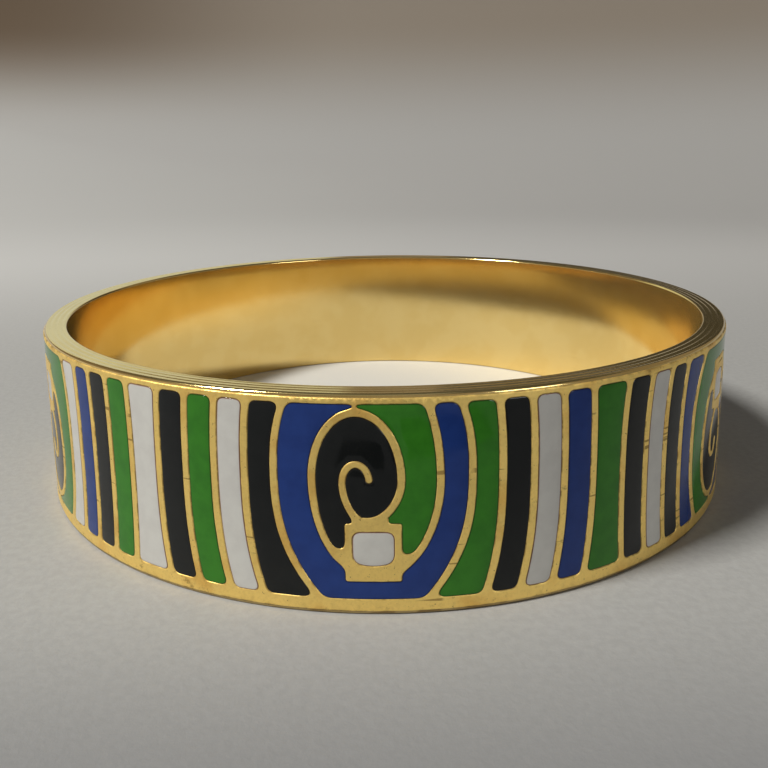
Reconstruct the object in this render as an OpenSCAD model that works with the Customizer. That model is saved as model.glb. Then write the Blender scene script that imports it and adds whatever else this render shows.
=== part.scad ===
// Slip-on bangle bracelet: a gold-plated ring with an enamelled band around its outside.
// Frame: the origin is the centre of the bottom face, +Z is the ring's axis, and the
// first motif faces -Y. Angles are in degrees from the front, growing towards +X.

/* [Ring] */
// Inner diameter, the wrist opening
inner_d = 63.5; // [60:0.5:66.5]
// Height of the ring
ring_h = 16; // [16:0.1:16.4]
// Thickness of the whole wall at the top edge
wall_top = 2.05; // [1.9:0.05:2.3]
// How much further out the band stands at the bottom edge than at the top
flare = 0.6; // [0:0.1:0.8]
// Thickness of the inner ring's tube
tube_t = 0.8; // [0.6:0.05:0.9]
// Height of the flange and of the bottom rim behind their lips
rim_t = 0.9; // [0.6:0.05:1]
// Height of the lips that show above and below the band
lip_h = 0.28; // [0.22:0.02:0.36]
// How far the lips stay back from the face of the band
lip_step = 0.08; // [0:0.02:0.14]
// Rounding of the lips and of the inner edges
edge_r = 0.2; // [0.1:0.02:0.2]

/* [Enamel] */
// Depth of the enamel, from the band's face to the floor of its cells
enamel_t = 0.5; // [0.3:0.05:0.6]
// Width of the gold walls between cells
wall_w = 0.58; // [0.45:0.01:0.65]
// Height of the bottom of the cells
field_lo = 1.2; // [1.1:0.05:1.3]
// Gold left above the cells, up to the top of the ring
margin_top = 0.68; // [0.6:0.02:0.8]
// Rounding of the corners of the stripes
stripe_r = 0.26; // [0.1:0.02:0.3]
// Rounding of the corners of the motifs' cells
motif_r = 0.12; // [0.06:0.02:0.16]

/* [Motifs] */
// Number of motifs around the ring, upright and upside down by turns
motif_count = 6; // [6]
// Angle of the first motif from the front
first_angle = -1.55; // [-5:0.05:5]
// Half the width of an upright motif
motif_hw = 6.77; // [6.6:0.01:6.9]
// Extra half width of a motif that is upside down
hw_extra = 0.3; // [0:0.05:0.4]
// How much wider the middle of such a motif is
core_widen = 1.1; // [1:0.02:1.1]
// Thickness of the gold line that outlines the oval
line_w = 0.52; // [0.4:0.02:0.56]
// Thickness of the curl inside the oval
curl_w = 0.47; // [0.36:0.01:0.5]
// Width of the pedestal under the oval
pedestal_w = 3.9; // [3.6:0.05:4]
// Width of the window in the pedestal
window_w = 2.92; // [2.6:0.02:3]

/* [Stripes] */
// Colours of the stripes after an upright motif: g green, k black, w white, b blue
stripes_a = "gkwbgkwkb"; // [gkwbgkwkb, wbkgwkgwk]
// Colours of the stripes after a motif that is upside down
stripes_b = "wbkgwkgwk"; // [wbkgwkgwk, gkwbgkwkb]

/* [Hidden] */
$fn = 180;

gold = [0.80, 0.63, 0.34];
enamel = [["w", "white", [0.80, 0.79, 0.76]], ["b", "blue", [0.10, 0.17, 0.40]],
          ["k", "black", [0.09, 0.09, 0.09]], ["g", "green", [0.15, 0.40, 0.10]]];

// Ring radii and heights
inner_r = inner_d / 2;
tube_r = inner_r + tube_t;
top_r = inner_r + wall_top;
bottom_r = top_r + flare;
mean_r = (top_r + bottom_r) / 2;
field_hi = ring_h - margin_top;
field_h = field_hi - field_lo;
rebate_r = top_r - enamel_t - 0.35;
spare = 0.4;

// The waist of a motif, where it is widest, and the swell of its sides
waist_up = 10.2;
waist_down = 8;
swell = 2.5;
// How far each motif's sides lean in at the top and at the bottom, in degrees
lean_top = [1.4, 3.7, 1.4, 2.6, 1.4, 1.7];
lean_bottom = [5.1, 2.5, 5.1, 2.2, 5.1, 1.9];
// Whether each motif is seen in a mirror
mirrored = [false, false, true, false, true, true];
// The share of that lean that each stripe boundary takes, counted away from the motif
lean_share = [1, 0.38, 0.31, 0.25, 0.2];
// Widths of the stripes of a panel, relative to each other
stripe_w = [3.6, 3.9, 4.0, 4.15, 4.7, 4.15, 4.0, 3.9, 3.6];
stripe_count = len(stripe_w);

// Points along the curves
side_steps = 5;
oval_steps = 7;
curl_steps = 11;
window_steps = 4;
corner_sides = 8;

function band_r(z) = bottom_r - flare * z / ring_h;
function upside_down(m) = m % 2 == 1;
function motif_angle(m) = first_angle + m * 360 / motif_count;
function half_angle(m) = asin((motif_hw + (upside_down(m) ? hw_extra : 0)) / mean_r);
function waist(m) = upside_down(m) ? waist_down : waist_up;
function to_degrees(w) = w / mean_r * 180 / PI;
function sum_to(list, n) = n == 0 ? 0 : list[n - 1] + sum_to(list, n - 1);

// The lean of a boundary at height z, from its lean at the top and at the bottom
function lean(z, waist_z, top, bottom) = z > waist_z
    ? top * pow((z - waist_z) / (field_hi - waist_z), swell)
    : bottom * pow((waist_z - z) / (waist_z - field_lo), swell);

// The angle of boundary k of panel p at height z. Boundary 0 is the side of the motif
// before the panel and the last boundary is the side of the motif after it.
function boundary(p, k, z) = let(
    n = (p + 1) % motif_count,
    start = motif_angle(p) + half_angle(p),
    end = motif_angle(p + 1) - half_angle(n),
    at = start + (end - start) * sum_to(stripe_w, k) / sum_to(stripe_w, stripe_count),
    near_start = k < stripe_count / 2,
    m = near_start ? p : n,
    share = lean_share[near_start ? k : stripe_count - k],
    waist_z = waist(p) + (waist(n) - waist(p)) * k / stripe_count,
    shift = share * lean(z, waist_z, lean_top[m], lean_bottom[m]))
    near_start ? at - shift : at + shift;

// Heights at which a side is sampled
function side_z(i, steps) = field_lo + field_h * i / steps;

// Points between two boundaries, flattened around the angle mid
function between(p_left, k_left, p_right, k_right, mid, inset, steps) = concat(
    [for (i = [0 : steps]) let(z = side_z(i, steps))
        [mean_r * sin(boundary(p_left, k_left, z) + inset - mid), z]],
    [for (i = [steps : -1 : 0]) let(z = side_z(i, steps))
        [mean_r * sin(boundary(p_right, k_right, z) - inset - mid), z]]);

// A round arc of an ellipse with half axes a and b
function arc(c, a, b, from, to, steps) =
    [for (i = [0 : steps]) let(t = from + (to - from) * i / steps)
        c + [a * cos(t), b * sin(t)]];

// The oval and the field beside it, in the plane of an upright motif
oval_c = [-1.1, field_lo + 8.8];
oval_a = 3.03;
oval_b_top = 4.73;
oval_b_tail = 6.4;
oval_b_side = 3.2;
side_c = [0, field_lo + 8.7];
side_a = 4.58;
side_b_top = 9.2;
side_b_low = 7.05;
tip_x = -1.14;
tip_gap = 0.3;
tail_z = field_lo + 3.8;
side_tail_z = field_lo + 3.4;
pedestal_lo = field_lo + 1.35;
pedestal_hi = field_lo + 5.65;
neck = [-1.46, 1.04, pedestal_hi + 0.45];
window_lo = field_lo + 2.8;
window_hi = field_lo + 5.07;
window_bulge = 0.3;

// The curl's centre line: it climbs from the pedestal, turns over and ends inside
curl_c = [-1.1, field_lo + 8.55];
curl_start = -0.12;
curl_from = 255;
curl_sweep = 243;
function curl_at(u) = let(
    t = curl_from - curl_sweep * u,
    a = 1 - 0.12 * u,
    b = 1.35 + 0.95 * pow(1 - u, 3))
    curl_c + [a * cos(t), b * sin(t)];
function unit(v) = v / norm(v);
function curl_side(u, side) = let(d = unit(curl_at(u + 0.01) - curl_at(u - 0.01)))
    curl_at(u) + side * curl_w / 2 * [-d[1], d[0]];

module revolve(points) rotate_extrude() polygon(points);

// Everything inside the oval's outline, drawn larger or smaller by grow
module oval_2d(grow) {
    polygon(concat(
        arc(oval_c, oval_a + grow, oval_b_top + grow, 0, 180, 2 * oval_steps),
        arc(oval_c, oval_a + grow, oval_b_tail + grow, 190, 270, oval_steps),
        arc(oval_c, oval_a + grow, oval_b_side + grow, 270, 350, oval_steps)));
}

// The half of the motif beside the oval, with the tip that reaches over the oval
module side_2d(grow, from_x) {
    intersection() {
        polygon(concat(
            arc(side_c, side_a + grow, side_b_top + grow, 0, 90, 2 * oval_steps),
            arc(side_c, side_a + grow, side_b_low + grow, 270, 350, oval_steps)));
        translate([from_x, field_lo]) square([side_a - from_x + spare, field_h]);
    }
    translate([from_x, side_c[1]]) square([spare - from_x, field_hi - side_c[1]]);
}

module pedestal_2d() {
    translate([-pedestal_w / 2, pedestal_lo]) square([pedestal_w, pedestal_hi - pedestal_lo]);
}

module neck_2d() {
    translate([neck[0], pedestal_lo]) square([neck[1] - neck[0], neck[2] - pedestal_lo]);
}

module curl_2d() {
    us = [for (i = [0 : curl_steps]) curl_start + (1 - curl_start) * i / curl_steps];
    polygon(concat(
        [for (u = us) curl_side(u, 1)],
        [for (i = [curl_steps : -1 : 0]) curl_side(us[i], -1)]));
    translate(curl_at(1)) circle(d = curl_w, $fn = 16);
}

module round_2d(r) offset(r = r, $fn = corner_sides) offset(delta = -r) children();

module spiral_field_2d() difference() {
    oval_2d(-line_w / 2);
    pedestal_2d();
    curl_2d();
    neck_2d();
    translate([-motif_hw, field_lo]) square([motif_hw, tail_z - field_lo]);
}

module side_field_2d() difference() {
    side_2d(-line_w / 2, tip_x + tip_gap / 2);
    oval_2d(line_w / 2);
    pedestal_2d();
    neck_2d();
    translate([0, field_lo]) square([motif_hw, side_tail_z - field_lo]);
}

module window_2d() polygon(concat(
    [[window_w / 2, window_hi], [-window_w / 2, window_hi]],
    [for (i = [0 : window_steps]) let(x = window_w * (i / window_steps - 0.5))
        [x, window_lo - window_bulge * (1 - pow(2 * x / window_w, 2))]]));

// The middle of a motif, which its U-shaped cell goes around
module core_2d() {
    oval_2d(line_w / 2);
    side_2d(line_w / 2, tip_x - tip_gap / 2);
    pedestal_2d();
}

// Places a motif's middle: mirrored and turned upside down as the motif is
module place_2d(m) {
    translate([0, upside_down(m) ? field_lo + field_hi : 0])
        scale([(mirrored[m] ? -1 : 1) * (upside_down(m) ? core_widen : 1),
               upside_down(m) ? -1 : 1]) children();
}

module u_field_2d(m) {
    before = (m + motif_count - 1) % motif_count;
    mid = motif_angle(m);
    difference() {
        polygon(between(before, stripe_count, m, 0, mid, to_degrees(wall_w / 2), 2 * side_steps));
        place_2d(m) core_2d();
    }
}

module stripe_2d(p, k, mid) round_2d(stripe_r)
    polygon(between(p, k, p, k + 1, mid, to_degrees(wall_w / 2), side_steps));

// Stands a flat shape up around the ring at an angle
module stand(angle) {
    rotate([0, 0, angle]) rotate([90, 0, 0])
        translate([0, 0, inner_r]) linear_extrude(wall_top + flare + 2) children();
}

// The shape that one cell cuts out of the ring's face
module motif_cutter(m, field) stand(motif_angle(m)) {
    if (field == "u_field") round_2d(motif_r) u_field_2d(m);
    if (field == "spiral_field") round_2d(motif_r / 2) place_2d(m) spiral_field_2d();
    if (field == "side_field") round_2d(motif_r) place_2d(m) side_field_2d();
    if (field == "window") round_2d(2 * motif_r) place_2d(m) window_2d();
}

module stripe_cutter(p, k) {
    mid = (boundary(p, k, waist_up) + boundary(p, k + 1, waist_up)) / 2;
    stand(mid) stripe_2d(p, k, mid);
}

// The layer of the ring that holds the enamel
module enamel_layer(z0, z1) {
    revolve([[band_r(z0) - enamel_t, z0], [band_r(z0), z0],
             [band_r(z1), z1], [band_r(z1) - enamel_t, z1]]);
}

function fields() = ["u_field", "spiral_field", "side_field", "window"];
function stripe_order(p) = upside_down(p) ? stripes_b : stripes_a;

// Inner wall of the bangle with the flat flange on top and the lip at its edge
module inner_ring() {
    color(gold) revolve(concat(
        arc([inner_r + edge_r, edge_r], edge_r, edge_r, 270, 180, 4),
        arc([inner_r + edge_r, ring_h - edge_r], edge_r, edge_r, 180, 90, 4),
        arc([top_r - lip_step - edge_r, ring_h - edge_r], edge_r, edge_r, 90, 0, 4),
        [[top_r - lip_step, ring_h - lip_h], [rebate_r, ring_h - lip_h],
         [rebate_r, ring_h - rim_t], [tube_r, ring_h - rim_t], [tube_r, 0]]));
}

// Ring that closes the bottom, with the same lip at its edge
module bottom_rim() {
    r = bottom_r - lip_step;
    color(gold) revolve(concat(
        [[tube_r, rim_t], [tube_r, 0]],
        arc([r - edge_r, edge_r], edge_r, edge_r, 270, 360, 4),
        [[r, lip_h], [rebate_r, lip_h], [rebate_r, rim_t]]));
}

// Outer band with a cell sunk into its face for each piece of enamel
module cell_band() {
    z0 = lip_h;
    z1 = ring_h - lip_h;
    color(gold) {
        revolve([[tube_r, rim_t], [rebate_r, rim_t], [rebate_r, z0], [band_r(z0) - enamel_t, z0],
                 [band_r(z1) - enamel_t, z1], [rebate_r, z1], [rebate_r, ring_h - rim_t],
                 [tube_r, ring_h - rim_t]]);
        difference() {
            enamel_layer(z0, z1);
            for (m = [0 : motif_count - 1], f = fields()) motif_cutter(m, f);
            for (p = [0 : motif_count - 1], k = [0 : stripe_count - 1]) stripe_cutter(p, k);
        }
    }
}

// One cell of a motif, filled with enamel
module motif_field(m, field) {
    shade = field == "u_field" ? (upside_down(m) ? 3 : 1)
        : field == "side_field" ? (upside_down(m) ? 1 : 3)
        : field == "window" ? 0 : 2;
    color(enamel[shade][2]) intersection() {
        enamel_layer(field_lo - spare, field_hi + spare / 2);
        motif_cutter(m, field);
    }
}

// All stripes of one colour in the panel after motif p
module panel_stripes(p, shade) {
    order = stripe_order(p);
    color(enamel[shade][2])
        for (k = [0 : stripe_count - 1])
            if (order[k] == enamel[shade][0]) intersection() {
                enamel_layer(field_lo - spare, field_hi + spare / 2);
                stripe_cutter(p, k);
            }
}

inner_ring();
bottom_rim();
cell_band();
for (m = [0 : motif_count - 1], f = fields())
    motif_field(m, f);
for (p = [0 : motif_count - 1], s = [0 : 3])
    panel_stripes(p, s);
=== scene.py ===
"""Slip-on bangle with an enamelled band: the looks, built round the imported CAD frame.

The bangle's lengths are in millimetres until a mesh is made. The floor, the cards, the
lights and the camera are in metres. Angles around the ring are in degrees from the
front, which faces -Y, and grow towards +X.
"""
import math

import bpy
import numpy as np
from mathutils import Matrix, Vector, noise
from mathutils.geometry import delaunay_2d_cdt


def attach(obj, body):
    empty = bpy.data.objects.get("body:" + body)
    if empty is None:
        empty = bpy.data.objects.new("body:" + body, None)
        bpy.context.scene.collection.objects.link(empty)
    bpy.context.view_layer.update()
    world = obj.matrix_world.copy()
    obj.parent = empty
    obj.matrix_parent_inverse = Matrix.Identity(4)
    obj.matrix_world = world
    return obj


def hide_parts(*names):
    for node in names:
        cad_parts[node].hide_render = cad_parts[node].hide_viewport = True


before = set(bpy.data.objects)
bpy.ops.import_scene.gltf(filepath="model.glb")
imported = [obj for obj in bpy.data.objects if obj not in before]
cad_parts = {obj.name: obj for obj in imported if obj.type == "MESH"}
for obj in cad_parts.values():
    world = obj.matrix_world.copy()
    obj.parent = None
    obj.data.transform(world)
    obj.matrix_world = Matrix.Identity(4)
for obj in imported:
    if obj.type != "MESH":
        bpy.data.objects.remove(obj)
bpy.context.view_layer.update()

MM = 0.001

# ---- Driving dimensions, the same as the CAD's ----
INNER_R = 31.75
RING_H = 16.0
WALL_TOP = 2.05
FLARE = 0.6
TUBE_T = 0.8
RIM_T = 0.9
LIP_H = 0.28
LIP_STEP = 0.08
ENAMEL_T = 0.5
WALL_W = 0.58
FIELD_LO = 1.2
FIELD_HI = RING_H - 0.68
MOTIFS = 6
FIRST_ANGLE = -1.55
MOTIF_HW = 6.77
HW_EXTRA = 0.3
CORE_WIDEN = 1.1
LINE_W = 0.52
CURL_W = 0.47
PEDESTAL_W = 3.9
WINDOW_W = 2.92
STRIPES = ("gkwbgkwkb", "wbkgwkgwk")
COLOURS = {"w": "white", "b": "blue", "k": "black", "g": "green"}

TOP_R = INNER_R + WALL_TOP
BOTTOM_R = TOP_R + FLARE
MEAN_R = (TOP_R + BOTTOM_R) / 2
SLOPE = FLARE / RING_H
REBATE_R = TOP_R - ENAMEL_T - 0.35
TUBE_R = INNER_R + TUBE_T
Z0 = LIP_H
Z1 = RING_H - LIP_H
HALF_WALL = math.degrees(WALL_W / 2 / MEAN_R)   # in degrees around the ring

WAIST_UP = 10.2
WAIST_DOWN = 8.0
SWELL = 2.5
LEAN_TOP = (1.4, 3.7, 1.4, 2.6, 1.4, 1.7)
LEAN_BOTTOM = (5.1, 2.5, 5.1, 2.2, 5.1, 1.9)
MIRRORED = (False, False, True, False, True, True)
LEAN_SHARE = (1, 0.38, 0.31, 0.25, 0.2)
STRIPE_W = (3.6, 3.9, 4.0, 4.15, 4.7, 4.15, 4.0, 3.9, 3.6)
STRIPE_N = len(STRIPE_W)

OVAL_C = (-1.1, FIELD_LO + 8.8)
OVAL_A, OVAL_TOP, OVAL_TAIL, OVAL_SIDE = 3.03, 4.73, 6.4, 3.2
SIDE_C = (0.0, FIELD_LO + 8.7)
SIDE_A, SIDE_TOP, SIDE_LOW = 4.58, 9.2, 7.05
TIP_X, TIP_GAP = -1.14, 0.3
TAIL_Z = FIELD_LO + 3.8
SIDE_TAIL_Z = FIELD_LO + 3.4
PED_LO, PED_HI = FIELD_LO + 1.35, FIELD_LO + 5.65
NECK = (-1.46, 1.04, PED_HI + 0.45)
WIN_LO, WIN_HI, WIN_BULGE = FIELD_LO + 2.8, FIELD_LO + 5.07, 0.3
CURL_C = (-1.1, FIELD_LO + 8.55)
CURL_START, CURL_FROM, CURL_SWEEP = -0.12, 255, 243
CURL_NARROW, CURL_LOW, CURL_RISE = 0.12, 1.35, 0.95
CURL_STEP = 0.01         # how far apart, as a share of the curl, its direction is taken
BOX_SPARE, TIP_END_X = 1.0, 0.4

# ---- Fineness of the meshes ----
SIDE_STEPS = 44          # rows up the sides of a stripe
ARC_STEP = 4.0           # degrees
CURL_POINTS = 56
WINDOW_POINTS = 15
RING_SEGMENTS = 720
LOOP_STEP = 0.3          # longest edge round a cell
GRID_STEP = 0.75         # spacing of the points inside a face
FILL_GRID_STEP = GRID_STEP * 0.8
ROW_STEP = 0.866         # spacing of the grid's rows, as a share of its step
CLEAR = 0.28             # how far the grid keeps from the loops
SAME_POINT = 0.004       # points nearer than this count as one
MERGE_FLAT, MERGE_MESH = 1e-5, 1e-6

# ---- Roundings ----
CORNER = 18.0            # a turn sharper than this, in degrees, is a corner
SIDE_SHARE = 0.48        # the most of a side that one rounding takes
TURN_LIMIT = 150         # a turn counts as no sharper than this, in degrees
CUT_SPARE = 0.01         # how far outside a rounding the loop's own points start
OFFSET_KEPT = 0.97       # points of an offset ring nearer than this share are dropped
SHARP_LIMIT = 0.6        # limits how far an offset ring reaches out at a corner
CREASE = 40              # a ring's profile is shaded sharp above this many degrees

# ---- The cells' edges: offset from the loop, height, tilt in degrees, and for the
# ---- fills the edge value
GOLD_RINGS = ((0.0, -0.055, 46), (0.035, -0.018, 22), (0.085, 0.0, 0))
FILL_RINGS = ((-0.006, -0.062, 45, 1.0), (-0.045, -0.034, 18, 0.65), (-0.1, -0.024, 3, 0.15))
FILL_TOP, FILL_WAVE, FILL_LIFT = -0.02, 0.004, 0.004
WAVE_RATE, WAVE_SEED = 0.35, 7

# ---- The seams beside the rims: distance from the rim and height ----
SEAM_ROWS = ((0.0, -0.055), (0.045, -0.02), (0.1, 0.0))
SEAM_PITS = ((Z1, 0.035), (Z0, 0.012))
SEAM_PIT_W = 0.12
PIT_RATE, PIT_SEED, PIT_GAIN = 1.7, 3, 3
SEAM_TILT, SEAM_TILT_W = 35, 0.09
SEAM_STAIN_W = 0.13
SEAM_CLEAR = 0.2


# ---------------------------------------------------------------- pattern
def band_r(z):
    return BOTTOM_R - SLOPE * z


def upside_down(m):
    return m % 2 == 1


def motif_angle(m):
    return FIRST_ANGLE + m * 360 / MOTIFS


def half_angle(m):
    width = MOTIF_HW + (HW_EXTRA if upside_down(m) else 0)
    return math.degrees(math.asin(width / MEAN_R))


def waist(m):
    return WAIST_DOWN if upside_down(m) else WAIST_UP


def lean(z, waist_z, top, bottom):
    if z > waist_z:
        return top * ((z - waist_z) / (FIELD_HI - waist_z)) ** SWELL
    return bottom * ((waist_z - z) / (waist_z - FIELD_LO)) ** SWELL


def boundary(p, k, z):
    """Angle of the middle of the gold wall between stripes k - 1 and k of panel p."""
    n = (p + 1) % MOTIFS
    start = motif_angle(p) + half_angle(p)
    end = motif_angle(p + 1) - half_angle(n)
    at = start + (end - start) * sum(STRIPE_W[:k]) / sum(STRIPE_W)
    near_start = k < STRIPE_N / 2
    m = p if near_start else n
    share = LEAN_SHARE[k if near_start else STRIPE_N - k]
    waist_z = waist(p) + (waist(n) - waist(p)) * k / STRIPE_N
    shift = share * lean(z, waist_z, LEAN_TOP[m], LEAN_BOTTOM[m])
    return at - shift if near_start else at + shift


def panel_end(m, z):
    """Angle of the middle of the gold wall before motif m."""
    return boundary((m - 1) % MOTIFS, STRIPE_N, z) - (360 if m == 0 else 0)


def stripe_loop(p, k, mid):
    """The cell of stripe k of panel p, flattened around the angle mid, counter-clockwise."""
    zs = np.linspace(FIELD_LO, FIELD_HI, SIDE_STEPS + 1)
    flat = lambda a: MEAN_R * math.sin(math.radians(a))
    lefts = [(flat(boundary(p, k, z) + HALF_WALL - mid), z) for z in zs[::-1]]
    rights = [(flat(boundary(p, k + 1, z) - HALF_WALL - mid), z) for z in zs]
    return rights + lefts


def arc(c, a, b, start, end):
    steps = max(2, round(abs(end - start) / ARC_STEP))
    ts = np.radians(np.linspace(start, end, steps + 1))
    return [(c[0] + a * math.cos(t), c[1] + b * math.sin(t)) for t in ts]


def rect(x0, z0, x1, z1):
    return [(x0, z0), (x1, z0), (x1, z1), (x0, z1)]


def oval(grow):
    a = OVAL_A + grow
    return (arc(OVAL_C, a, OVAL_TOP + grow, 0, 180)
            + arc(OVAL_C, a, OVAL_TAIL + grow, 180 + ARC_STEP, 270)
            + arc(OVAL_C, a, OVAL_SIDE + grow, 270 + ARC_STEP, 360 - ARC_STEP))


def side_parts(grow, from_x):
    """The field beside the oval: a half round, the box it is cut to, and its tip."""
    a = SIDE_A + grow
    half = (arc(SIDE_C, a, SIDE_LOW + grow, 270, 360 - ARC_STEP)
            + arc(SIDE_C, a, SIDE_TOP + grow, 0, 90))
    box = rect(from_x, FIELD_LO, SIDE_A + BOX_SPARE, FIELD_HI)
    tip = rect(from_x, SIDE_C[1], TIP_END_X, FIELD_HI)
    return half, box, tip


def curl_parts():
    """The curl as a strip of even width, and the round knob at its end."""
    def at(u):
        t = math.radians(CURL_FROM - CURL_SWEEP * u)
        a = 1 - CURL_NARROW * u
        b = CURL_LOW + CURL_RISE * (1 - u) ** 3
        return np.array([CURL_C[0] + a * math.cos(t), CURL_C[1] + b * math.sin(t)])

    def edge(u, side):
        d = at(u + CURL_STEP) - at(u - CURL_STEP)
        d = d / np.linalg.norm(d)
        return tuple(at(u) + side * CURL_W / 2 * np.array([-d[1], d[0]]))

    us = np.linspace(CURL_START, 1, CURL_POINTS)
    strip = [edge(u, 1) for u in us] + [edge(u, -1) for u in us[::-1]]
    return strip, arc(at(1), CURL_W / 2, CURL_W / 2, 0, 360 - 2 * ARC_STEP)


def window():
    xs = np.linspace(-WINDOW_W / 2, WINDOW_W / 2, WINDOW_POINTS)
    low = [(x, WIN_LO - WIN_BULGE * (1 - (2 * x / WINDOW_W) ** 2)) for x in xs]
    return low + [(WINDOW_W / 2, WIN_HI), (-WINDOW_W / 2, WIN_HI)]


def placed(loop, m):
    """A loop of the upright motif, turned and widened as motif m is."""
    sx = (-1 if MIRRORED[m] else 1) * (CORE_WIDEN if upside_down(m) else 1)
    flip = upside_down(m)
    return [(x * sx, FIELD_LO + FIELD_HI - z if flip else z) for x, z in loop]


# ---------------------------------------------------------------- flat geometry
def area(loop):
    p = np.asarray(loop)
    q = np.roll(p, -1, axis=0)
    return float((p[:, 0] * q[:, 1] - q[:, 0] * p[:, 1]).sum()) / 2


def ccw(loop):
    return list(loop) if area(loop) > 0 else list(loop)[::-1]


def combine(shapes, keep):
    """The largest outline of the region that keep(indices of the shapes it is in) picks."""
    points, faces = [], []
    for shape in shapes:
        faces.append(list(range(len(points), len(points) + len(shape))))
        points += [Vector(p) for p in ccw(shape)]
    verts, _, tris, _, _, owners = delaunay_2d_cdt(points, [], faces, 0, MERGE_FLAT, True)
    edges = set()
    for tri, inside in zip(tris, owners):
        if inside and keep(set(inside)):
            edges.update((tri[i], tri[(i + 1) % 3]) for i in range(3))
    follow = {a: b for a, b in edges if (b, a) not in edges}
    loops = []
    while follow:
        start, b = follow.popitem()
        loop = [start]
        while b != start and b in follow:
            loop.append(b)
            b = follow.pop(b)
        loops.append([tuple(verts[i]) for i in loop])
    return max(loops, key=lambda l: abs(area(l)))


def fillet(loop, convex_r, concave_r):
    """Rounds the corners of a counter-clockwise loop and evens out its long edges."""
    p = np.asarray(ccw(loop), float)
    p = p[np.linalg.norm(p - np.roll(p, 1, axis=0), axis=1) > SAME_POINT]
    e = np.roll(p, -1, axis=0) - p
    length = np.linalg.norm(e, axis=1)
    d = e / length[:, None]
    before = np.roll(d, 1, axis=0)
    turn = np.degrees(np.arctan2(before[:, 0] * d[:, 1] - before[:, 1] * d[:, 0],
                                 (before * d).sum(1)))
    s = np.concatenate([[0], np.cumsum(length)])
    total = s[-1]
    sharp = [i for i in range(len(p)) if abs(turn[i]) > CORNER]

    def at(t):
        t %= total
        i = min(int(np.searchsorted(s, t, side="right")) - 1, len(p) - 1)
        return p[i] + d[i] * (t - s[i]), d[i]

    spans, made = [], []
    for j, i in enumerate(sharp):
        gap_before = (s[i] - s[sharp[j - 1]]) % total or total
        gap_after = (s[sharp[(j + 1) % len(sharp)]] - s[i]) % total or total
        half_turn = math.radians(min(abs(turn[i]), TURN_LIMIT)) / 2
        if turn[i] > 0:
            cut = convex_r * max(math.tan(half_turn), 1.0)
        else:
            cut = concave_r * math.tan(half_turn)
        before_cut = min(cut, SIDE_SHARE * gap_before)
        after_cut = min(cut, SIDE_SHARE * gap_after)
        (a, way_in), (b, way_out) = at(s[i] - before_cut), at(s[i] + after_cut)
        near_a, near_b = a + way_in * before_cut * 2 / 3, b - way_out * after_cut * 2 / 3
        n = max(6, round(abs(turn[i]) / 10))
        for t in np.linspace(0, 1, n + 1):
            u = 1 - t
            q = u ** 3 * a + 3 * t * u * u * near_a + 3 * t * t * u * near_b + t ** 3 * b
            made.append(((s[i] + after_cut * t - before_cut * (1 - t)) % total, tuple(q)))
        spans.append((s[i], before_cut, after_cut))
    for i in range(len(p)):
        past = lambda c: (s[i] - c + total / 2) % total - total / 2
        if all(past(c) < -b - CUT_SPARE or past(c) > a + CUT_SPARE for c, b, a in spans):
            made.append((s[i], tuple(p[i])))
    made.sort()
    out = []
    for j, (_, a) in enumerate(made):
        b = made[(j + 1) % len(made)][1]
        gap = math.dist(a, b)
        if gap < SAME_POINT:
            continue
        n = max(1, math.ceil(gap / LOOP_STEP))
        out += [(a[0] + (b[0] - a[0]) * i / n, a[1] + (b[1] - a[1]) * i / n)
                for i in range(n)]
    return np.array(out)


def outward(loop):
    """Unit normals that point out of a counter-clockwise loop, and how sharp it turns."""
    e = np.roll(loop, -1, axis=0) - loop
    e = e / np.linalg.norm(e, axis=1)[:, None]
    n = np.stack([e[:, 1], -e[:, 0]], 1)
    total = n + np.roll(n, 1, axis=0)
    size = np.maximum(np.linalg.norm(total, axis=1), 1e-6)
    return total / size[:, None], np.maximum(size / 2, SHARP_LIMIT)


def distance_to(points, loops):
    """Distance from each point to the nearest edge of the loops."""
    best = np.full(len(points), 1e9)
    for loop in loops:
        a, b = loop, np.roll(loop, -1, axis=0)
        ab = b - a
        t = ((points[:, None] - a) * ab).sum(2) / np.maximum((ab * ab).sum(1), 1e-12)
        near = a + np.clip(t, 0, 1)[..., None] * ab
        best = np.minimum(best, np.linalg.norm(points[:, None] - near, axis=2).min(1))
    return best


def offset_ring(loop, by):
    """The loop moved out by a distance (in, where negative), and its outward normals."""
    n, sharp = outward(loop)
    if by == 0:
        return loop, n
    ring = loop + n * (by / sharp)[:, None]
    good = distance_to(ring, [loop]) >= abs(by) * OFFSET_KEPT
    return ring[good], n[good]


def inner_points(low, high, loops, step=GRID_STEP):
    """A staggered grid of points that keeps clear of the loops."""
    rows = np.arange(low[1] + step / 2, high[1], step * ROW_STEP)
    points = [(x + (step / 2 if j % 2 else 0), z)
              for j, z in enumerate(rows) for x in np.arange(low[0], high[0], step)]
    points = np.array(points)
    return points[distance_to(points, loops) > CLEAR]


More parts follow.
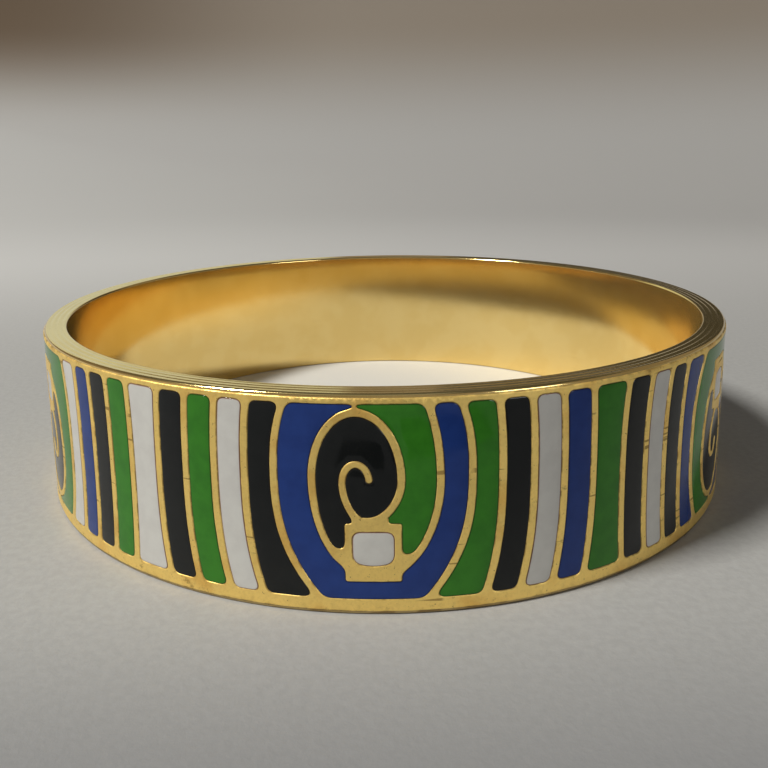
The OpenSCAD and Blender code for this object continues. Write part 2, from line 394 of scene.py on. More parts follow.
# ---------------------------------------------------------------- meshes
class Shell:
    """Collects vertices, faces and their normals for one mesh."""

    def __init__(self):
        self.points, self.found, self.faces, self.normals, self.edge = [], {}, [], [], []

    def vertex(self, point, edge=0.0):
        key = tuple(round(c, 5) for c in point)
        if key not in self.found:
            self.found[key] = len(self.points)
            self.points.append(point)
            self.edge.append(edge)
        return self.found[key]

    def face(self, ids, normals=None):
        if len(set(ids)) < len(ids):
            return
        if normals is None:
            p = [np.array(self.points[i]) for i in ids]
            n = np.cross(p[1] - p[0], p[2] - p[0])
            normals = [n / max(np.linalg.norm(n), 1e-12)] * len(ids)
        self.faces.append(tuple(ids))
        self.normals += [tuple(n) for n in normals]

    def build(self, name, material, slot, *replaced):
        mesh = bpy.data.meshes.new(name)
        mesh.from_pydata([tuple(c * MM for c in p) for p in self.points], [], self.faces)
        mesh.attributes.new("edge", "FLOAT", "POINT").data.foreach_set("value", self.edge)
        mesh.polygons.foreach_set("use_smooth", [True] * len(mesh.polygons))
        mesh.normals_split_custom_set(self.normals)
        mesh.materials.append(material)
        obj = bpy.data.objects.new(name, mesh)
        bpy.context.scene.collection.objects.link(obj)
        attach(obj, "root")
        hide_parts(*replaced)
        return obj


def on_ring(mid, x, z, h):
    """The point of the flattened cell at (x, z), raised by h, and its angle."""
    rho = band_r(z) + h
    a = math.radians(mid) + math.asin(x / rho)
    return (rho * math.sin(a), -rho * math.cos(a), z), a


def normal_at(a, tilt_way=(0, 0), tilt=0.0):
    """The band's normal at an angle, tilted by some degrees along the surface."""
    t = math.radians(tilt)
    out = np.array([math.sin(a), -math.cos(a), SLOPE])
    out /= np.linalg.norm(out)
    along = np.array([math.cos(a) * tilt_way[0], math.sin(a) * tilt_way[0], tilt_way[1]])
    n = out * math.cos(t) + along * math.sin(t)
    return n / np.linalg.norm(n)


def wobble(point):
    """The smooth, repeatable unevenness of the enamel's surface."""
    return FILL_WAVE * noise.noise(Vector(point) * WAVE_RATE + Vector((WAVE_SEED, 0, 0)))


def triangulate(points, loops, faces, keep):
    """Triangles, by index into points, of a flat region. Where two edges cross, the
    crossing becomes the point nearest to it, which keeps the surface whole."""
    edges = [(loop[i], loop[(i + 1) % len(loop)]) for loop in loops for i in range(len(loop))]
    verts, _, tris, origin, _, owners = delaunay_2d_cdt(
        [Vector(p) for p in points], edges, faces, 0, MERGE_MESH, True)
    index = [o[0] if o else min(range(len(points)), key=lambda k: math.dist(points[k], v))
             for v, o in zip(verts, origin)]
    made = []
    for tri, inside in zip(tris, owners):
        if inside and keep(set(inside)):
            ids = [index[i] for i in tri]
            if len(set(ids)) == 3:
                made.append(ids)
    return made


def numbered(groups):
    """All the points of some groups, and the indices that each group got."""
    points, ids = [], []
    for group in groups:
        ids.append(list(range(len(points), len(points) + len(group))))
        points += [tuple(p) for p in group]
    return points, ids


def seam_drop(z, a):
    """How far the band's face falls away next to the rims: unevenly, and most at the top."""
    ways, depths = zip(*SEAM_ROWS)
    for edge, rough in SEAM_PITS:
        d = abs(edge - z)
        if d <= ways[-1] + 1e-6:
            base = float(np.interp(d, ways, depths))
            spot = Vector((math.degrees(a) * PIT_RATE, edge, PIT_SEED))
            pit = max(0, noise.noise(spot)) ** 2
            return base - rough * pit * (1 - d / SEAM_PIT_W) * PIT_GAIN
    return 0.0


def face_point(mid, x, z, known):
    """A point of the band's face and its angle, which a tile's border knows already."""
    if known is not None:
        a = math.radians(known)
        rho = band_r(z) + seam_drop(z, a)
        return (rho * math.sin(a), -rho * math.cos(a), z), a
    point, a = on_ring(mid, x, z, 0.0)
    drop = seam_drop(z, a)
    return (on_ring(mid, x, z, drop)[0] if drop else point), a


def seam_normal(z, a):
    """The normal of the band's face, tilted towards the rim where it is next to one."""
    near_top, near_low = Z1 - z < SEAM_TILT_W, z - Z0 < SEAM_TILT_W
    way = (0, 1 if near_top else -1)
    return normal_at(a, way, SEAM_TILT if near_top or near_low else 0)


def add_cell(shell, loop, mid):
    """The gold inside of a cell: its side walls and its floor."""
    grid = inner_points(loop.min(0), loop.max(0), [loop])
    points, ids = numbered([loop, grid])
    tris = triangulate(points, [ids[0]], [ids[0]], lambda s: True)
    floor = [shell.vertex(on_ring(mid, x, z, -ENAMEL_T)[0], 1.0) for x, z in points]
    for tri in tris:
        shell.face([floor[i] for i in tri])
    depth = GOLD_RINGS[0][1]
    top = [shell.vertex(on_ring(mid, x, z, depth)[0], 1.0) for x, z in loop]
    for i in ids[0]:
        j = (i + 1) % len(loop)
        shell.face([top[i], top[j], floor[j], floor[i]])


def add_tile(shell, mid, left, right, cells):
    """The gold face between two wall middles, with a rounded edge round each cell."""
    zs = np.linspace(Z0, Z1, SIDE_STEPS + 5)
    zs = np.unique(np.concatenate([zs, [Z0 + d for d, _ in SEAM_ROWS],
                                   [Z1 - d for d, _ in SEAM_ROWS]]).round(6))
    flat = lambda a, z: band_r(z) * math.sin(math.radians(a - mid))
    n = max(3, round(math.radians(right(Z0) - left(Z0)) * MEAN_R / LOOP_STEP))
    spots = [(left(Z0) + (right(Z0) - left(Z0)) * i / n, Z0) for i in range(n)]
    spots += [(right(z), z) for z in zs[:-1]]
    spots += [(right(Z1) + (left(Z1) - right(Z1)) * i / n, Z1) for i in range(n)]
    spots += [(left(z), z) for z in zs[:0:-1]]
    border = [(flat(a, z), z) for a, z in spots]
    rows = []
    for z in [Z0 + d for d, _ in SEAM_ROWS[1:]] + [Z1 - d for d, _ in SEAM_ROWS[1:]]:
        a, b = left(z), right(z)
        rows += [(flat(a + (b - a) * (i + 0.5) / n, z), z) for i in range(n)]
    groups, facts = [np.array(border), np.array(rows)], [None, None]
    for loop in cells:
        for by, h, tilt in GOLD_RINGS:
            ring, normals = offset_ring(loop, by)
            groups.append(ring)
            facts.append((h, tilt, -normals))
    loops = [np.array(border)] + list(cells)
    grid = inner_points(np.min(border, axis=0), np.max(border, axis=0), loops)
    grid = grid[(grid[:, 1] > Z0 + SEAM_CLEAR) & (grid[:, 1] < Z1 - SEAM_CLEAR)]
    groups.append(grid)
    facts.append(None)
    points, ids = numbered(groups)
    rings = [i for i, f in zip(ids, facts) if f is not None]
    outer = [ids[0]] + rings[::len(GOLD_RINGS)]
    tris = triangulate(points, [ids[0]] + rings, outer, lambda s: s == {0})
    vertex, normal = {}, {}
    for group, members, fact in zip(groups, ids, facts):
        for j, i in enumerate(members):
            x, z = group[j]
            stain = max(0.0, 1 - min(Z1 - z, z - Z0) / SEAM_STAIN_W)
            if fact:
                height, tilt, ways = fact
                point, a = on_ring(mid, x, z, height)
                vertex[i] = shell.vertex(point, 1.0 if height < 0 else stain)
                normal[i] = normal_at(a, ways[j], tilt)
            else:
                known = spots[i][0] if i < len(border) else None
                point, a = face_point(mid, x, z, known)
                vertex[i] = shell.vertex(point, stain)
                normal[i] = seam_normal(z, a)
    for tri in tris:
        shell.face([vertex[i] for i in tri], [normal[i] for i in tri])
    low = [(vertex[i], spots[i][0]) for i in range(n + 1)]
    start = n + len(zs) - 1
    high = [(vertex[i], spots[i][0]) for i in range(start, start + n + 1)][::-1]
    return low, high


def close_band(shell, low, high):
    """The hidden back of the band, from its lower edge round to its upper edge."""
    def row(angles, r, z):
        return [shell.vertex((r * math.sin(math.radians(a)), -r * math.cos(math.radians(a)), z))
                for a in angles]

    low_a, high_a = [a for _, a in low], [a for _, a in high]
    rows = [[v for v, _ in low], row(low_a, REBATE_R, Z0), row(low_a, REBATE_R, RIM_T),
            row(low_a, TUBE_R, RIM_T)]
    for t in (0.25, 0.5, 0.75):
        angles = [a + (b - a) * t for a, b in zip(low_a, high_a)]
        rows.append(row(angles, TUBE_R, RIM_T + (RING_H - 2 * RIM_T) * t))
    rows += [row(high_a, TUBE_R, RING_H - RIM_T), row(high_a, REBATE_R, RING_H - RIM_T),
             row(high_a, REBATE_R, Z1), [v for v, _ in high]]
    for a, b in zip(rows, rows[1:]):
        for i in range(len(a) - 1):
            shell.face([a[i + 1], a[i], b[i], b[i + 1]])


def make_fill(name, cells, material, slot, node):
    """Enamel in one or more cells: slightly domed, with a rounded edge."""
    shell = Shell()
    for loop, mid in cells:
        groups, facts = [], []
        for by, h, tilt, edge in FILL_RINGS:
            ring, normals = offset_ring(loop, by)
            groups.append(ring)
            facts.append((h, tilt, normals, edge))
        grid = inner_points(loop.min(0), loop.max(0), [loop], FILL_GRID_STEP)
        points, ids = numbered(groups + [grid])
        tris = triangulate(points, ids[:-1], [ids[0]], lambda s: True)
        vertex, normal = {}, {}
        for group, members, fact in zip(groups + [grid], ids, facts + [None]):
            for j, i in enumerate(members):
                x, z = group[j]
                h = fact[0] if fact else FILL_TOP + wobble((x, z, mid))
                point, a = on_ring(mid, x, z, h)
                vertex[i] = shell.vertex(point, fact[3] if fact else 0.0)
                normal[i] = normal_at(a, fact[2][j] if fact else (0, 0), fact[1] if fact else 0)
        for tri in tris:
            shell.face([vertex[i] for i in tri], [normal[i] for i in tri])
        ring = groups[0]
        under = inner_points(loop.min(0), loop.max(0), [loop])
        points, low = numbered([ring, under])
        flats = triangulate(points, [low[0]], [low[0]], lambda s: True)
        depth = -ENAMEL_T + FILL_LIFT
        floor = [shell.vertex(on_ring(mid, x, z, depth)[0], 1.0) for x, z in points]
        for tri in flats:
            shell.face([floor[i] for i in tri[::-1]])
        for i in range(len(ring)):
            j = (i + 1) % len(ring)
            shell.face([vertex[j], vertex[i], floor[i], floor[j]])
    return shell.build(name, material, slot, node)


def lathe(name, profile, material, slot, node):
    """A closed ring from a profile of (radius, height, normals, edge), drawn with its
    outside on the right of the way it goes."""
    shell = Shell()
    angles = [2 * math.pi * i / RING_SEGMENTS for i in range(RING_SEGMENTS)]
    rows = [[shell.vertex((r * math.sin(a), -r * math.cos(a), z), e) for a in angles]
            for r, z, _, e in profile]
    for k in range(len(profile)):
        k2 = (k + 1) % len(profile)
        n1, n2 = profile[k][2][1], profile[k2][2][0]
        for i in range(RING_SEGMENTS):
            j = (i + 1) % RING_SEGMENTS
            turned = [np.array([n[0] * math.sin(angles[t]), -n[0] * math.cos(angles[t]), n[1]])
                      for n, t in ((n1, i), (n1, j), (n2, j), (n2, i))]
            shell.face([rows[k][i], rows[k][j], rows[k2][j], rows[k2][i]], turned)
    return shell.build(name, material, slot, node)


def profiled(points):
    """Adds to each (r, z, edge) the normals before and after it, sharp at a crease."""
    out, n = [], len(points)
    for i, (r, z, e) in enumerate(points):
        def face_normal(a, b):
            d = np.array([b[0] - a[0], b[1] - a[1]])
            d /= max(np.linalg.norm(d), 1e-9)
            return np.array([d[1], -d[0]])

        before = face_normal(points[i - 1], points[i])
        after = face_normal(points[i], points[(i + 1) % n])
        if (before * after).sum() > math.cos(math.radians(CREASE)):
            mean = before + after
            mean /= np.linalg.norm(mean)
            before = after = mean
        out.append((r, z, (before, after), e))
    return out


def bend(c, size, start, end, steps):
    """A round stretch of a ring's profile."""
    ts = np.radians(np.linspace(start, end, steps + 1))
    return [(c[0] + size * math.cos(t), c[1] + size * math.sin(t), 0.0) for t in ts]


# ---------------------------------------------------------------- materials
def new_material(name):
    mat = bpy.data.materials.new(name)
    mat.use_nodes = True
    return mat, mat.node_tree, mat.node_tree.nodes["Principled BSDF"]


def put(tree, kind, sockets=None, **props):
    """Adds a node. A socket's value may be another node's output."""
    n = tree.nodes.new(kind)
    for key, value in props.items():
        setattr(n, key, value)
    for key, value in (sockets or {}).items():
        if isinstance(value, bpy.types.NodeSocket):
            tree.links.new(value, n.inputs[key])
        else:
            n.inputs[key].default_value = value
    return n


def speckle(tree, place, scale, detail=3.0, rough=0.55, stretch=(1, 1, 1)):
    spot = put(tree, "ShaderNodeMapping", {"Vector": place, "Scale": stretch})
    return put(tree, "ShaderNodeTexNoise", {"Vector": spot.outputs[0], "Scale": scale,
               "Detail": detail, "Roughness": rough}).outputs["Fac"]


def ramp(tree, value, low, high, to_low=0.0, to_high=1.0):
    return put(tree, "ShaderNodeMapRange", {"Value": value, "From Min": low, "From Max": high,
               "To Min": to_low, "To Max": to_high}, interpolation_type="SMOOTHSTEP").outputs[0]


def blend(tree, share, a, b):
    n = tree.nodes.new("ShaderNodeMix")
    n.data_type = "RGBA"
    for index, value in ((0, share), (6, a), (7, b)):
        if isinstance(value, bpy.types.NodeSocket):
            tree.links.new(value, n.inputs[index])
        else:
            n.inputs[index].default_value = value
    return n.outputs[2]


def maths(tree, operation, a, b):
    n = put(tree, "ShaderNodeMath", operation=operation)
    for index, value in enumerate((a, b)):
        if isinstance(value, bpy.types.NodeSocket):
            tree.links.new(value, n.inputs[index])
        else:
            n.inputs[index].default_value = value
    return n.outputs[0]


def gold_material(name, light, deep, rough, stain, grain, brush, patchy, metal, tarnish_and_valley_shade):
    """Gold plate: two tones, dark flecks, thin dark ticks across the walls, brown patches,
    pits, tarnished gold where the edge value is high (on the liner's top, painted shade in the
    ripple valleys), and fine grain and brushing in the bump."""
    mat, tree, shader = new_material(name)
    place = put(tree, "ShaderNodeTexCoord").outputs["Object"]
    edge = put(tree, "ShaderNodeAttribute", attribute_name="edge").outputs["Fac"]
    tone = ramp(tree, speckle(tree, place, 260, 4), patchy, patchy + 0.2)
    colour = blend(tree, tone, (*light, 1), (*deep, 1))
    fleck = ramp(tree, speckle(tree, place, 4200, 3, 0.65), 0.44, 0.7, 0.0, 0.22 * stain)
    colour = blend(tree, fleck, colour, (deep[0] * 0.5, deep[1] * 0.45, deep[2] * 0.4, 1))
    lines = ramp(tree, speckle(tree, place, 760, 1, 0.5, (0.12, 0.12, 3.6)), 0.665, 0.69)
    ticks = maths(tree, "MULTIPLY", lines, ramp(tree, speckle(tree, place, 330, 2), 0.5, 0.56))
    patches = ramp(tree, speckle(tree, place, 620, 6, 0.7), 0.61, 0.74)
    pits = ramp(tree, speckle(tree, place, 3600, 2, 0.6), 0.68, 0.74)
    # The edge mask: tarnish at seams and cell grooves, and painted shade in the ripple valleys
    # of the liner's top.
    edge_mask_with_valley_shade = maths(tree, "MULTIPLY", edge, ramp(tree, speckle(tree, place, 900, 4), 0.42, 0.6))
    spots = maths(tree, "MAXIMUM", maths(tree, "MAXIMUM", patches, pits), ticks)
    stains_and_valley_shade = maths(tree, "MAXIMUM", maths(tree, "MULTIPLY", spots, stain),
                 maths(tree, "MULTIPLY", edge_mask_with_valley_shade, tarnish_and_valley_shade))
    colour = blend(tree, stains_and_valley_shade, colour, (0.13, 0.065, 0.018, 1))
    tree.links.new(colour, shader.inputs["Base Color"])
    fine = speckle(tree, place, 5200, 4, 0.7)
    spread = ramp(tree, speckle(tree, place, 480, 5), 0.3, 0.75,
                  rough - 0.1 * stain, rough + 0.15 * stain)
    tree.links.new(maths(tree, "ADD", spread, maths(tree, "MULTIPLY", stains_and_valley_shade, 0.3)),
                   shader.inputs["Roughness"])
    shader.inputs["Metallic"].default_value = metal
    scratch = speckle(tree, place, 900, 3, 0.6, (0.25, 0.25, 6))
    relief = maths(tree, "ADD", fine, maths(tree, "MULTIPLY", scratch, brush))
    height = maths(tree, "SUBTRACT", relief, maths(tree, "MULTIPLY", stains_and_valley_shade, 1.5))
    bump = put(tree, "ShaderNodeBump", {"Height": height, "Strength": grain,
               "Distance": 0.00002})
    tree.links.new(bump.outputs[0], shader.inputs["Normal"])
    return mat


def enamel_material(name, colour, dark, edge_colour, edge_share):
    """Fired enamel: a glossy skin over a faintly mottled colour, darker at its border."""
    mat, tree, shader = new_material(name)
    place = put(tree, "ShaderNodeTexCoord").outputs["Object"]
    edge = put(tree, "ShaderNodeAttribute", attribute_name="edge").outputs["Fac"]
    mottle = ramp(tree, speckle(tree, place, 700, 5, 0.6), 0.3, 0.72)
    body = blend(tree, mottle, (*colour, 1), (*dark, 1))
    grains = ramp(tree, speckle(tree, place, 7000, 2), 0.7, 0.76, 0.0, 0.3)
    body = blend(tree, grains, body, (*[c * 0.6 for c in colour], 1))
    ring = maths(tree, "MULTIPLY", ramp(tree, edge, 0.05, 0.75), edge_share)
    body = blend(tree, ring, body, (*edge_colour, 1))
    tree.links.new(body, shader.inputs["Base Color"])
    tree.links.new(ramp(tree, speckle(tree, place, 420, 4), 0.3, 0.7, 0.045, 0.09),
                   shader.inputs["Roughness"])
    shader.inputs["IOR"].default_value = 1.38
    swell = speckle(tree, place, 330, 2, 0.4)
    skin = speckle(tree, place, 2600, 3, 0.5)
    bump = put(tree, "ShaderNodeBump", {"Height": maths(tree, "ADD", swell,
               maths(tree, "MULTIPLY", skin, 0.12)), "Strength": 0.2, "Distance": 0.00004})
    tree.links.new(bump.outputs[0], shader.inputs["Normal"])
    return mat


band_gold = gold_material("band_gold", (1.0, 0.73, 0.225), (0.88, 0.57, 0.15), rough=0.42,
                          stain=0.62, grain=0.4, brush=0.4, patchy=0.5, metal=0.8, tarnish_and_valley_shade=0.62)
# A darker copy of the gold for the foot rim: painted shade for the contact shadow on its lower
# rounded edge.
foot_gold_painted_shade = gold_material("foot_gold_painted_shade", (0.50, 0.38, 0.18), (0.34, 0.24, 0.10), rough=0.32,
                          stain=0.5, grain=0.3, brush=0.3, patchy=0.48, metal=1.0, tarnish_and_valley_shade=0.5)
# On the liner the last share darkens the seam under the rim and, as painted shade, the ripple
# valleys of its top.
liner_gold = gold_material("liner_gold", (0.83, 0.63, 0.26), (0.80, 0.595, 0.23), rough=0.115,
                           stain=0.04, grain=0.09, brush=0.03, patchy=0.4, metal=0.94,
                           tarnish_and_valley_shade=0.06)
BROWN = (0.16, 0.06, 0.03)
enamels = {
    "w": enamel_material("enamel_white", (0.51, 0.51, 0.48), (0.47, 0.465, 0.44), BROWN, 0.9),
    "b": enamel_material("enamel_blue", (0.012, 0.036, 0.17), (0.009, 0.028, 0.14),
                         (0.004, 0.007, 0.03), 0.7),
    "k": enamel_material("enamel_black", (0.005, 0.006, 0.006), (0.007, 0.008, 0.008),
                         (0.02, 0.013, 0.008), 0.5),
    "g": enamel_material("enamel_green", (0.030, 0.165, 0.012), (0.023, 0.135, 0.010),
                         (0.008, 0.03, 0.004), 0.7),
}

# ---------------------------------------------------------------- the gold rings
EDGE_IN, EDGE_OUT, EDGE_LOW, LIP_R = 0.24, 0.26, 0.2, TOP_R - LIP_STEP
TOP_ROWS, BORE_ROWS = 43, 14
CROWN, RIPPLE, RIPPLES = 0.012, 0.032, 3
flat_from, flat_to = INNER_R + EDGE_IN, LIP_R - EDGE_OUT


def groove(t):
    """How deep the shallow rings are at a share t of the top face, from 0 to 1."""
    return (1 - math.cos(2 * math.pi * RIPPLES * t)) / 2


# The third value is the edge value: highest in the ripple valleys, where the liner's gold gets
# painted shade.
top_face = [(flat_from + (flat_to - flat_from) * t, RING_H - CROWN * (2 * t - 1) ** 2
             - RIPPLE * groove(t), groove(t) ** 3)
            for t in np.linspace(0, 1, TOP_ROWS)[1:-1]]
liner = (bend((INNER_R + EDGE_LOW, EDGE_LOW), EDGE_LOW, 270, 180, 8)
         + [(INNER_R, z, 0) for z in np.linspace(EDGE_LOW, RING_H - EDGE_IN, BORE_ROWS)[1:-1]]
         + bend((INNER_R + EDGE_IN, RING_H - EDGE_IN - CROWN), EDGE_IN, 180, 90, 10)
         + top_face
         + bend((LIP_R - EDGE_OUT, RING_H - EDGE_OUT - CROWN), EDGE_OUT, 90, 0, 10)
         + [(LIP_R, RING_H - LIP_H, 1), (REBATE_R, RING_H - LIP_H, 1),
            (REBATE_R, RING_H - RIM_T, 1), (TUBE_R, RING_H - RIM_T, 1), (TUBE_R, 0, 0)])
lathe("liner_ring", profiled(liner[::-1]), liner_gold, "gold_inner", "inner_ring")

low_r = BOTTOM_R - LIP_STEP
rim = ([(REBATE_R, RIM_T, 1), (TUBE_R, RIM_T, 1), (TUBE_R, 0, 0)]
       + bend((low_r - EDGE_LOW, EDGE_LOW), EDGE_LOW, 270, 360, 10)
       + [(low_r, LIP_H, 1), (REBATE_R, LIP_H, 1)])
lathe("foot_rim", profiled(rim), foot_gold_painted_shade, "gold_rim", "bottom_rim")

# ---------------------------------------------------------------- the cells
# how far each kind of cell's corners are rounded, and all their inward corners
ROUND_U, ROUND_SPIRAL, ROUND_SIDE = 0.55, 0.66, 0.55
ROUND_WINDOW, ROUND_STRIPE, ROUND_IN = 0.66, 0.5, 0.2


def motif_cells(m):
    """The four cells of motif m, each a rounded loop in the motif's plane."""
    mid = motif_angle(m)
    half, box, tip = side_parts(LINE_W / 2, TIP_X - TIP_GAP / 2)
    pedestal = rect(-PEDESTAL_W / 2, PED_LO, PEDESTAL_W / 2, PED_HI)
    neck = rect(NECK[0], PED_LO, NECK[1], NECK[2])
    zs = np.linspace(FIELD_LO, FIELD_HI, SIDE_STEPS + 1)
    flat = lambda a: MEAN_R * math.sin(math.radians(a - mid))
    whole = ([(flat(boundary(m, 0, z) - HALF_WALL), z) for z in zs]
             + [(flat(panel_end(m, z) + HALF_WALL), z) for z in zs[::-1]])
    core = [placed(s, m) for s in (oval(LINE_W / 2), half, box, tip, pedestal)]
    in_core = lambda s: 1 in s or (2 in s and 3 in s) or 4 in s or 5 in s
    u = combine([whole] + core, lambda s: 0 in s and not in_core(s))
    strip, knob = curl_parts()
    low = rect(-MOTIF_HW, FIELD_LO, 0, TAIL_Z)
    spiral = combine([oval(-LINE_W / 2), pedestal, strip, knob, neck, low],
                     lambda s: s == {0})
    half, box, tip = side_parts(-LINE_W / 2, TIP_X + TIP_GAP / 2)
    low = rect(0, FIELD_LO, MOTIF_HW, SIDE_TAIL_Z)
    side = combine([half, box, tip, oval(LINE_W / 2), pedestal, neck, low],
                   lambda s: ((0 in s and 1 in s) or 2 in s) and not s & {3, 4, 5, 6})
    return {
        "u_field": fillet(u, ROUND_U, ROUND_IN),
        "spiral_field": fillet(placed(spiral, m), ROUND_SPIRAL, ROUND_IN),
        "side_field": fillet(placed(side, m), ROUND_SIDE, ROUND_IN),
        "window": fillet(placed(window(), m), ROUND_WINDOW, ROUND_IN),
    }


band = Shell()
lower_edge, upper_edge = [], []


def add_cells(mid, left, right, loops):
    """The band's gold between two wall middles, with its cells."""
    low, high = add_tile(band, mid, left, right, loops)
    lower_edge.extend(low[:-1])
    upper_edge.extend(high[:-1])
    for loop in loops:
        add_cell(band, loop, mid)


def add_motif(m):
    """The gold of motif m and its four fills."""
    mid = motif_angle(m)
    cells = motif_cells(m)
    add_cells(mid, lambda z: panel_end(m, z), lambda z: boundary(m, 0, z),
              list(cells.values()))
    around, beside = ("g", "b") if upside_down(m) else ("b", "g")
    paint = {"u_field": around, "spiral_field": "k", "side_field": beside, "window": "w"}
    for field, loop in cells.items():
        make_fill(f"fill_{m + 1}_{field}", [(loop, mid)], enamels[paint[field]],
                  "enamel_" + COLOURS[paint[field]], f"motif_{m + 1}_{field}")


def add_panel(p):
    """The gold of panel p and the fills of its stripes, one piece for each colour."""
    by_colour = {}
    for k, letter in enumerate(STRIPES[1 if upside_down(p) else 0]):
        mid = (boundary(p, k, WAIST_UP) + boundary(p, k + 1, WAIST_UP)) / 2
        loop = fillet(stripe_loop(p, k, mid), ROUND_STRIPE, ROUND_IN)
        add_cells(mid, lambda z: boundary(p, k, z), lambda z: boundary(p, k + 1, z), [loop])
        by_colour.setdefault(letter, []).append((loop, mid))
    for letter, group in by_colour.items():
        make_fill(f"fill_{p + 1}_{COLOURS[letter]}_stripes", group, enamels[letter],
                  "enamel_" + COLOURS[letter], f"panel_{p + 1}_{COLOURS[letter]}_stripes")


for m in range(MOTIFS):
    add_motif(m)
    add_panel(m)
lower_edge.append(lower_edge[0])
upper_edge.append(upper_edge[0])
close_band(band, lower_edge, upper_edge)
band.build("cell_walls", band_gold, "gold_band", "cell_band")

# ---------------------------------------------------------------- floor and light
FLOOR_R, CURVE_R, WALL_TOP_Z = 0.30, 0.5, 0.75
FLOOR_SEGMENTS, FLOOR_ROWS, CURVE_ROWS = 128, 12, 25
CARD_Z = 0.0005


def floor_material():
    """Matt paper whose tone varies by place, as painted light and shade that the room would
    give: darker in front, paler behind and inside the ring, browner high up and darkest high at
    the left.
    """
    mat, tree, shader = new_material("floor_paper")
    place = put(tree, "ShaderNodeTexCoord").outputs["Object"]
    split = put(tree, "ShaderNodeSeparateXYZ", {0: place}).outputs
    grain = ramp(tree, speckle(tree, place, 1500, 3), 0.3, 0.7)
    paper = blend(tree, grain, (0.32, 0.32, 0.31, 1), (0.35, 0.35, 0.34, 1))
    # painted shade: darker paper in front of the ring
    paper = blend(tree, ramp(tree, split[1], -0.030, -0.056), paper, (0.19, 0.193, 0.197, 1))
    # painted light: paler paper behind the ring
    paper = blend(tree, ramp(tree, split[1], 0.01, 0.16), paper, (0.50, 0.50, 0.49, 1))
    # painted light: a paler disc inside the ring, for the light that the gold walls throw onto
    # the floor there
    away = put(tree, "ShaderNodeVectorMath", {0: place}, operation="LENGTH").outputs[1]
    paper = blend(tree, ramp(tree, away, 0.0335, 0.031), paper, (0.61, 0.605, 0.57, 1))
    # painted shade: browner, darker paper high up the curved wall
    paper = blend(tree, ramp(tree, split[2], 0.03, 0.14), paper, (0.33, 0.285, 0.235, 1))
    # painted shade: darker still high up towards the left
    corner = maths(tree, "MULTIPLY", ramp(tree, split[2], 0.05, 0.13),
                   ramp(tree, split[0], -0.02, -0.32))
    paper = blend(tree, corner, paper, (0.14, 0.10, 0.065, 1))
    tree.links.new(paper, shader.inputs["Base Color"])
    shader.inputs["Roughness"].default_value = 0.75
    bump = put(tree, "ShaderNodeBump", {"Height": speckle(tree, place, 2600, 4),
               "Strength": 0.3, "Distance": 0.0001})
    tree.links.new(bump.outputs[0], shader.inputs["Normal"])
    return mat


def make_floor():
    """A round pale floor that curves up into a wall on every side."""
    profile = [(r, 0.0) for r in np.linspace(0.0, FLOOR_R, FLOOR_ROWS)[1:]]
    profile += [(FLOOR_R + CURVE_R * math.sin(t), CURVE_R * (1 - math.cos(t)))
                for t in np.linspace(0, math.pi / 2, CURVE_ROWS)[1:]]
    profile.append((FLOOR_R + CURVE_R, WALL_TOP_Z))
    n = FLOOR_SEGMENTS
    verts, faces = [(0, 0, 0)], []
    for r, z in profile:
        verts += [(r * math.cos(2 * math.pi * i / n), r * math.sin(2 * math.pi * i / n), z)
                  for i in range(n)]
    faces += [(0, 1 + i, 1 + (i + 1) % n) for i in range(n)]
    for k in range(len(profile) - 1):
        a, b = 1 + k * n, 1 + (k + 1) * n
        faces += [(a + i, b + i, b + (i + 1) % n, a + (i + 1) % n) for i in range(n)]
    mesh = bpy.data.meshes.new("floor")
    mesh.from_pydata(verts, [], faces)
    mesh.polygons.foreach_set("use_smooth", [True] * len(mesh.polygons))
    mesh.materials.append(floor_material())
    obj = bpy.data.objects.new("floor", mesh)
    bpy.context.scene.collection.objects.link(obj)


def make_light(name, azimuth, elevation, distance, size, watts, colour):
    """A square area light that looks at the ring. Azimuth 0 is the camera's side."""
    a, e = math.radians(azimuth), math.radians(elevation)
    data = bpy.data.lights.new(name, "AREA")
    data.size, data.energy, data.color = size, watts, colour
    obj = bpy.data.objects.new(name, data)
    away = Vector((math.sin(a) * math.cos(e), -math.cos(a) * math.cos(e), math.sin(e)))
    obj.location = away * distance
    obj.rotation_euler = away.to_track_quat("Z", "Y").to_euler()
    bpy.context.scene.collection.objects.link(obj)


def make_card(name, corners, shade, glow=0.0):
    """A card that only reflections see: dark, it gives a painted dark reflection; with a glow,
    pale, it gives a painted bright reflection.
    """
    mesh = bpy.data.meshes.new(name)
    mesh.from_pydata(corners, [], [(0, 1, 2, 3)])
    mat, _, shader = new_material(name)
    shader.inputs["Base Color"].default_value = (*shade, 1)
    shader.inputs["Roughness"].default_value = 0.9
    shader.inputs["Emission Color"].default_value = (*shade, 1)
    shader.inputs["Emission Strength"].default_value = glow
    mesh.materials.append(mat)
    obj = bpy.data.objects.new(name, mesh)
    obj.visible_camera = obj.visible_diffuse = obj.visible_shadow = False
    bpy.context.scene.collection.objects.link(obj)


def upright(x0, x1, y, z0, z1):
    return [(x0, y, z0), (x1, y, z0), (x1, y, z1), (x0, y, z1)]


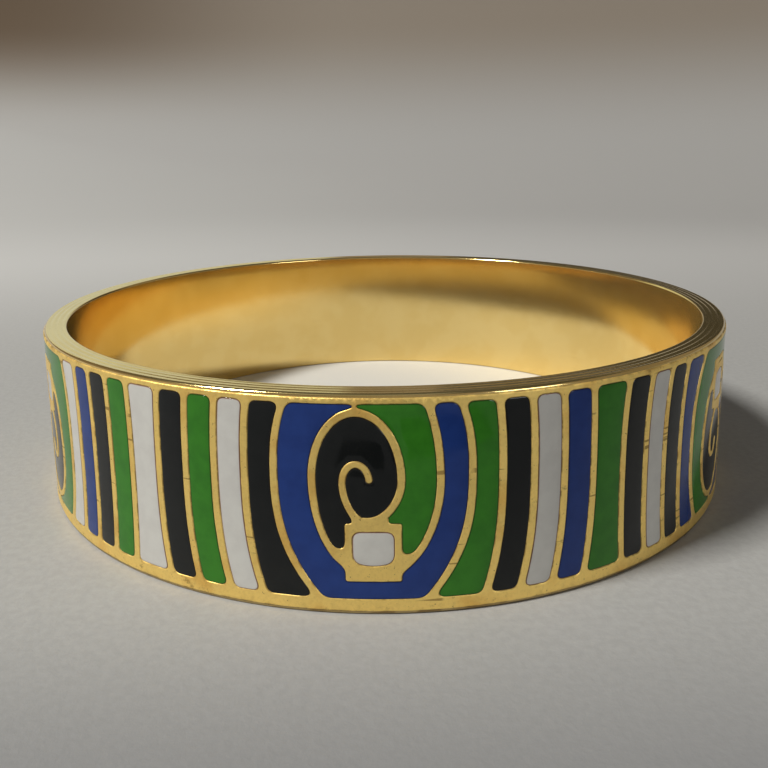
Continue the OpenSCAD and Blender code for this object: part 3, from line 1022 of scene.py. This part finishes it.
def flat_card(x0, y0, x1, y1):
    return [(x0, y0, CARD_Z), (x1, y0, CARD_Z), (x1, y1, CARD_Z), (x0, y1, CARD_Z)]


make_floor()
make_light("key", -64.5, 50, 0.9, 0.19, 10.0, (1.0, 0.98, 0.94))
make_light("fill", -10, 60, 0.7, 0.5, 0.15, (0.95, 0.97, 1.0))
make_light("side_fill", 42, 9, 0.6, 0.2, 1.1, (0.97, 0.98, 1.0))
# Painted reflections: a dark card behind on the right darkens the rim's reflections there, and a
# glowing pale card on the left brightens them there.
make_card("dark_reflection_card", upright(0.04, 0.48, 0.46, 0.08, 0.30), (0.012, 0.010, 0.007))
make_card("bright_reflection_card", upright(-0.50, -0.03, 0.45, 0.05, 0.30), (0.30, 0.325, 0.28), 1.0)
# Dark cards on the floor in front, seen only in the enamel: painted dark patches in its
# reflection.
make_card("near_dark_reflection_card", flat_card(-0.0117, -0.0735, -0.0004, -0.063), (0.004, 0.004, 0.004))
make_card("wide_dark_reflection_card", flat_card(0.0045, -0.083, 0.031, -0.0665), (0.004, 0.004, 0.004))
world = bpy.data.worlds.new("soft_room")
world.use_nodes = True
world.node_tree.nodes["Background"].inputs[0].default_value = (0.92, 0.95, 1.0, 1)
world.node_tree.nodes["Background"].inputs[1].default_value = 0.04
bpy.context.scene.world = world
bpy.context.scene.view_settings.view_transform = "Standard"

# ---------------------------------------------------------------- camera
CAMERA_AT = (0.0, -0.08086, 0.03136)
PITCH, YAW, ROLL = math.radians(15.41), math.radians(-0.07), math.radians(-0.68)
camera = bpy.data.objects.new("camera", bpy.data.cameras.new("camera"))
camera.data.sensor_width = 36.0
camera.data.lens = 35.69
camera.data.shift_y = -0.0326
camera.data.clip_start = 0.002
forward = Vector((math.sin(YAW) * math.cos(PITCH), math.cos(YAW) * math.cos(PITCH),
                  -math.sin(PITCH)))
right = Vector((math.cos(YAW), -math.sin(YAW), 0))
up = right.cross(forward)
across = right * math.cos(ROLL) + up * math.sin(ROLL)
above = -right * math.sin(ROLL) + up * math.cos(ROLL)
turned = Matrix((across, above, -forward)).transposed().to_4x4()
camera.matrix_world = Matrix.Translation(CAMERA_AT) @ turned
bpy.context.scene.collection.objects.link(camera)
bpy.context.scene.camera = camera
